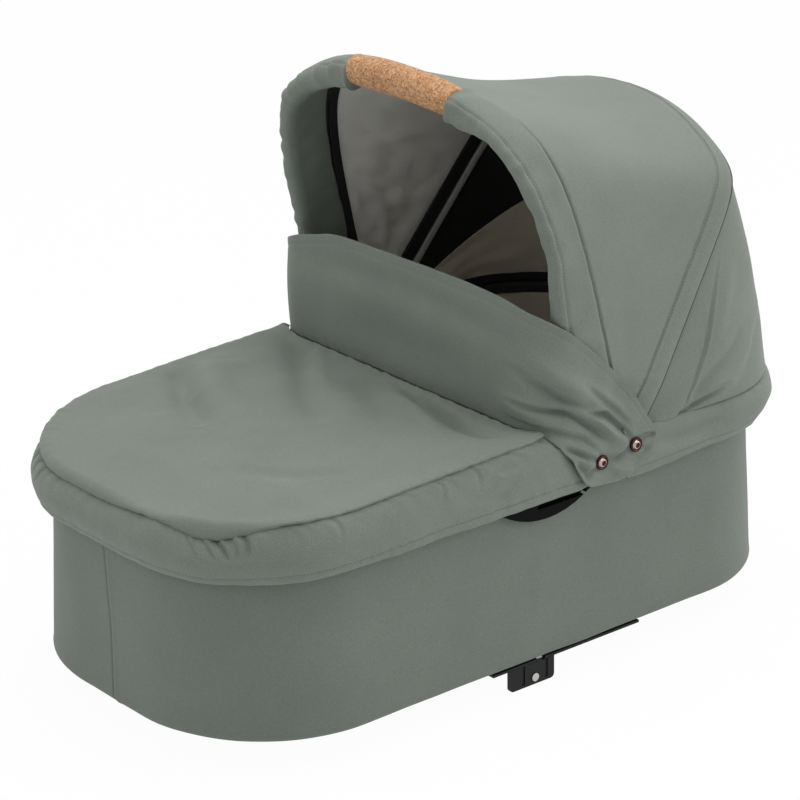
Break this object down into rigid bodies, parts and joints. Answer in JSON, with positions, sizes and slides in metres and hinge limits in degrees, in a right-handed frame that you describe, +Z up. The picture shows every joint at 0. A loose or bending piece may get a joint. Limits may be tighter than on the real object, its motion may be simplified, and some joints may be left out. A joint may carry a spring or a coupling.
{
  "type": "carrycot",
  "caption": "Carrycot for a pushchair frame: padded oval basket with apron, wind flap, folding fabric hood with a cork carry grip, and frame adapters with release levers.",
  "frame": {"origin": "middle of the basket base's underside", "axes": "+X towards the head end under the hood, +Z up, -Y the near side of the picture"},
  "size_m": [0.8708, 0.4922, 0.6638],
  "materials": {
    "sage_fabric": "matt woven polyester, sage green",
    "flap_fabric": "matt woven polyester, a darker sage green",
    "lining_fabric": "soft light taupe-grey lining",
    "mesh_fabric": "black open mesh",
    "ticking": "off-white mattress ticking",
    "cork": "ground cork, natural",
    "black_plastic": "black, satin",
    "grey_plastic": "dark grey, satin",
    "board": "stiff board",
    "aluminium": "plain",
    "steel": "zinc plated",
    "copper_metal": "antique copper, polished",
    "white_plastic": "off-white"
  },
  "bodies": {
    "basket": {"outer_cover": "sage_fabric", "apron_top": "sage_fabric", "apron_skirt": "sage_fabric", "hood_hem_band": "sage_fabric", "hood_rear_panel": "sage_fabric", "flap_wing_near": "flap_fabric", "flap_wing_far": "flap_fabric", "wall_lining": "lining_fabric", "hood_rear_lining": "lining_fabric", "vent_mesh": "mesh_fabric", "mattress": "ticking", "side_housing_near": "black_plastic", "side_housing_far": "black_plastic", "hood_hub_near": "black_plastic", "hood_hub_far": "black_plastic", "pivot_bush_near": "black_plastic", "pivot_bush_far": "black_plastic", "base_tray": "grey_plastic", "rim_frame": "grey_plastic", "adapter_bracket_near": "grey_plastic", "adapter_bracket_far": "grey_plastic", "adapter_plate_near": "grey_plastic", "adapter_plate_far": "grey_plastic", "wall_shell": "board", "pivot_pin_near": "steel", "pivot_pin_far": "steel", "latch_spring_near": "steel", "latch_spring_far": "steel", "stud_socket_near_1": "steel", "stud_socket_near_2": "steel", "stud_socket_far_1": "steel", "stud_socket_far_2": "steel", "adapter_screw_near_1": "steel", "adapter_screw_near_2": "steel", "adapter_screw_near_3": "steel", "adapter_screw_far_1": "steel", "adapter_screw_far_2": "steel", "adapter_screw_far_3": "steel", "stud_cap_near_1": "copper_metal", "stud_cap_near_2": "copper_metal", "stud_cap_far_1": "copper_metal", "stud_cap_far_2": "copper_metal", "adapter_disc_near": "white_plastic", "adapter_disc_far": "white_plastic"},
    "hood_middle": {"middle_bow": "aluminium", "hood_front_panel": "sage_fabric", "hood_front_lining": "lining_fabric"},
    "hood_front": {"front_bow": "aluminium", "cork_grip": "cork", "front_sleeve_near": "sage_fabric", "front_sleeve_far": "sage_fabric"},
    "flap": {"wind_flap": "flap_fabric"},
    "release_near": {"release_lever_near": "grey_plastic", "pull_strip_near": "steel", "latch_near": "steel"},
    "release_far": {"release_lever_far": "grey_plastic", "pull_strip_far": "steel", "latch_far": "steel"}
  },
  "joints": [
    {"name": "hood_fold", "type": "hinge", "parent": "basket", "child": "hood_middle", "pos_m": [0.115, 0, 0.21], "axis": [0, 1, 0], "range_deg": [0, 24], "deforming": ["hood_front_panel", "hood_front_lining", "hood_rear_panel", "hood_rear_lining", "vent_mesh"]},
    {"name": "front_bow_fold", "type": "hinge", "parent": "hood_middle", "child": "hood_front", "pos_m": [0.115, 0, 0.21], "axis": [0, 1, 0], "range_deg": [0, 34.8]},
    {"name": "flap_fold", "type": "hinge", "parent": "basket", "child": "flap", "pos_m": [-0.00125, 0, 0.2735], "axis": [0, -1, 0], "range_deg": [0, 80], "deforming": ["flap_wing_near", "flap_wing_far"]},
    {"name": "release_near_lift", "type": "slide", "parent": "basket", "child": "release_near", "axis": [0, 0, 1], "range_m": [0, 0.008], "stiffness_N_per_m": 400, "springref_m": -0.002, "deforming": ["latch_spring_near"]},
    {"name": "release_far_lift", "type": "slide", "parent": "basket", "child": "release_far", "axis": [0, 0, 1], "range_m": [0, 0.008], "stiffness_N_per_m": 400, "springref_m": -0.002, "deforming": ["latch_spring_far"]}
  ],
  "couplings": [
    {"joint": "front_bow_fold", "follows": "hood_fold", "ratio": 1.45}
  ]
}
